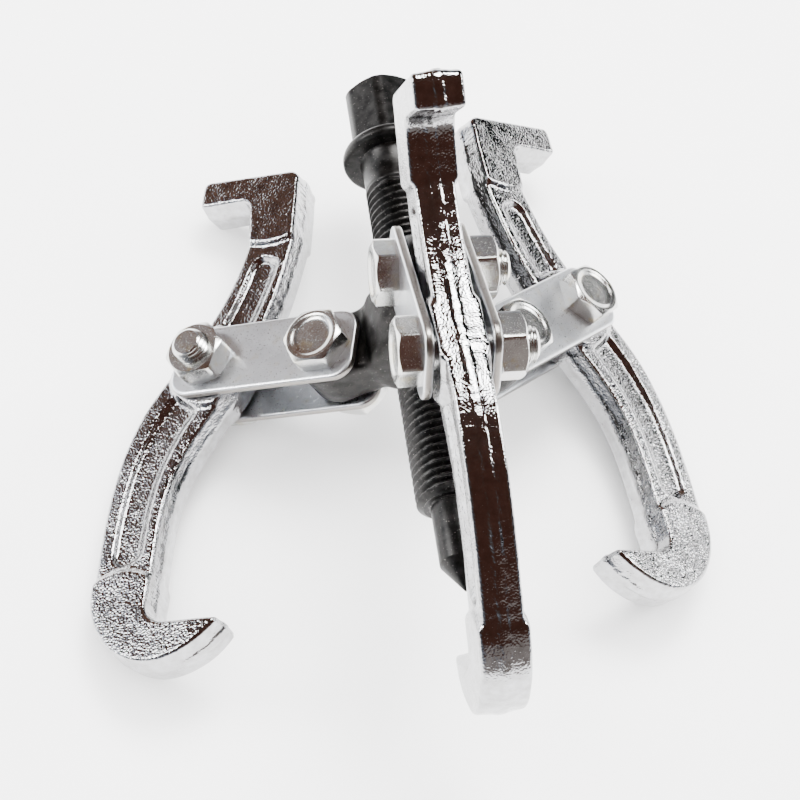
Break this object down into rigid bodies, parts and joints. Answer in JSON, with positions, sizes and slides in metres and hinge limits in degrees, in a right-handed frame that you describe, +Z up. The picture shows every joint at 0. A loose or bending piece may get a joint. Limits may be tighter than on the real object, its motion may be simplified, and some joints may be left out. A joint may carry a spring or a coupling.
{
  "type": "gear puller",
  "caption": "Three-arm gear puller: a forcing screw through a yoke, with reversible hooked jaws on paired link straps, laid on its side with one arm folded over the screw.",
  "frame": {"origin": "on the bench that the puller lies on, under the middle of its bounding box", "axes": "+Z up from the bench; +Y is the level direction nearest the screw's, towards the screw's head; +X to the right of a person who stands at the hooks and looks along +Y"},
  "size_m": [0.146, 0.166, 0.1146],
  "materials": {
    "jaw_chrome": "plated over a rough forging",
    "screw_steel": "black oxide",
    "yoke_steel": "black oxide on a forging",
    "strap_zinc": "satin zinc plate",
    "bolt_zinc": "zinc plate"
  },
  "bodies": {
    "yoke": {"yoke": "yoke_steel"},
    "screw": {"forcing_screw": "screw_steel"},
    "link_front": {"strap_front_a": "strap_zinc", "strap_front_b": "strap_zinc", "hub_bolt_front": "bolt_zinc", "hub_nut_front": "bolt_zinc", "jaw_bolt_front": "bolt_zinc", "jaw_nut_front": "bolt_zinc"},
    "jaw_front": {"jaw_front": "jaw_chrome"},
    "link_left": {"strap_left_a": "strap_zinc", "strap_left_b": "strap_zinc", "hub_bolt_left": "bolt_zinc", "hub_nut_left": "bolt_zinc", "jaw_bolt_left": "bolt_zinc", "jaw_nut_left": "bolt_zinc"},
    "jaw_left": {"jaw_left": "jaw_chrome"},
    "link_right": {"strap_right_a": "strap_zinc", "strap_right_b": "strap_zinc", "hub_bolt_right": "bolt_zinc", "hub_nut_right": "bolt_zinc", "jaw_bolt_right": "bolt_zinc", "jaw_nut_right": "bolt_zinc"},
    "jaw_right": {"jaw_right": "jaw_chrome"}
  },
  "joints": [
    {"name": "screw_feed", "type": "slide", "parent": "yoke", "child": "screw", "axis": [0, -0.9947, 0.103], "range_m": [-0.034, 0.011]},
    {"name": "link_front", "type": "hinge", "parent": "yoke", "child": "link_front", "pos_m": [0.00456, 0.01252, 0.06218], "axis": [-1, -0.0007, -0.0064], "range_deg": [-6, 72]},
    {"name": "jaw_front", "type": "hinge", "parent": "link_front", "child": "jaw_front", "pos_m": [0.0045, -0.01481, 0.07551], "axis": [1, 0.0007, 0.0064], "range_deg": [-8, 8]},
    {"name": "link_left", "type": "hinge", "parent": "yoke", "child": "link_left", "pos_m": [-0.01385, 0.00918, 0.02998], "axis": [0.5056, -0.0888, -0.8582], "range_deg": [-42, 12]},
    {"name": "jaw_left", "type": "hinge", "parent": "link_left", "child": "jaw_left", "pos_m": [-0.03913, 0.01569, 0.01441], "axis": [-0.5056, 0.0888, 0.8582], "range_deg": [-20, 40]},
    {"name": "link_right", "type": "hinge", "parent": "yoke", "child": "link_right", "pos_m": [0.02339, 0.00921, 0.03022], "axis": [0.4944, 0.0895, 0.8646], "range_deg": [-40, 10]},
    {"name": "jaw_right", "type": "hinge", "parent": "link_right", "child": "jaw_right", "pos_m": [0.04466, 0.02591, 0.01633], "axis": [-0.4944, -0.0895, -0.8646], "range_deg": [-15, 32]}
  ]
}
